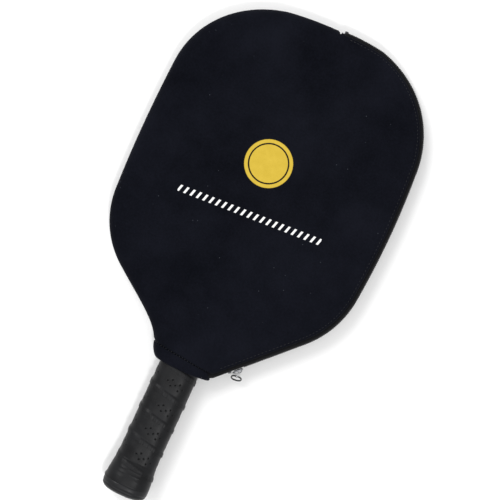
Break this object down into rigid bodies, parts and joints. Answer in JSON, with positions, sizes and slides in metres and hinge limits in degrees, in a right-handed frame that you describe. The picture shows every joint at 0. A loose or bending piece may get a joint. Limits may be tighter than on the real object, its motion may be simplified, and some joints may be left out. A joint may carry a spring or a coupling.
{
  "type": "pickleball paddle case",
  "caption": "Zipped neoprene cover with a snug neck cuff, shown closed over a paddle whose wrapped handle sticks out of the neck.",
  "frame": {"origin": "middle of the back panel's flat outer face", "axes": "+Y along the paddle from its butt to its tip, +X towards the zipped side, +Z out of the front panel"},
  "size_m": [0.2132, 0.4035, 0.034],
  "materials": {
    "neoprene": "matte knit face",
    "binding": "woven tape",
    "zip_tape": "woven herringbone",
    "zip_teeth": "satin nylon coil",
    "zip_metal": "gunmetal",
    "pull_wire": "black oxide",
    "paddle_core": "matte",
    "paddle_face": "fine woven grit",
    "edge_guard": "semi-gloss",
    "handle_foam": "matte",
    "grip_tape": "soft perforated",
    "rubber": "satin"
  },
  "bodies": {
    "root": {"back_panel": "neoprene", "front_panel": "neoprene", "neck_cuff": "neoprene", "seam_binding": "binding", "back_zip_tape": "zip_tape", "front_tape_end": "zip_tape", "back_zip_teeth": "zip_teeth", "front_top_stop": "zip_metal", "back_top_stop": "zip_metal", "zip_end_stop": "zip_metal", "paddle_core": "paddle_core", "paddle_front_face": "paddle_face", "paddle_back_face": "paddle_face", "paddle_edge_guard": "edge_guard", "handle_front_half": "handle_foam", "handle_back_half": "handle_foam", "grip_wrap": "grip_tape", "finishing_band": "rubber", "butt_cap": "rubber"},
    "flap": {"front_flap": "neoprene", "front_zip_tape": "zip_tape", "front_zip_teeth": "zip_teeth"},
    "slider": {"slider_body": "zip_metal", "slider_bridge": "zip_metal"},
    "link": {"pull_link": "zip_metal"},
    "ring": {"pull_ring": "pull_wire"}
  },
  "joints": [
    {"name": "flap_fold", "type": "hinge", "parent": "root", "child": "flap", "pos_m": [0.0215, -0.1444, 0.026], "axis": [0.0538, -0.9985, 0], "range_deg": [0, 110]},
    {"name": "slider_travel", "type": "slide", "parent": "root", "child": "slider", "axis": [0.7064, 0.7078, 0], "range_m": [0, 0.048]},
    {"name": "link_swing", "type": "hinge", "parent": "slider", "child": "link", "pos_m": [0.04336, -0.13547, 0.012], "axis": [0, 0, 1], "range_deg": [-7, 83]},
    {"name": "ring_swing", "type": "hinge", "parent": "link", "child": "ring", "pos_m": [0.04378, -0.13884, 0.012], "axis": [-0.9924, -0.1228, 0], "range_deg": [-20, 90]}
  ]
}
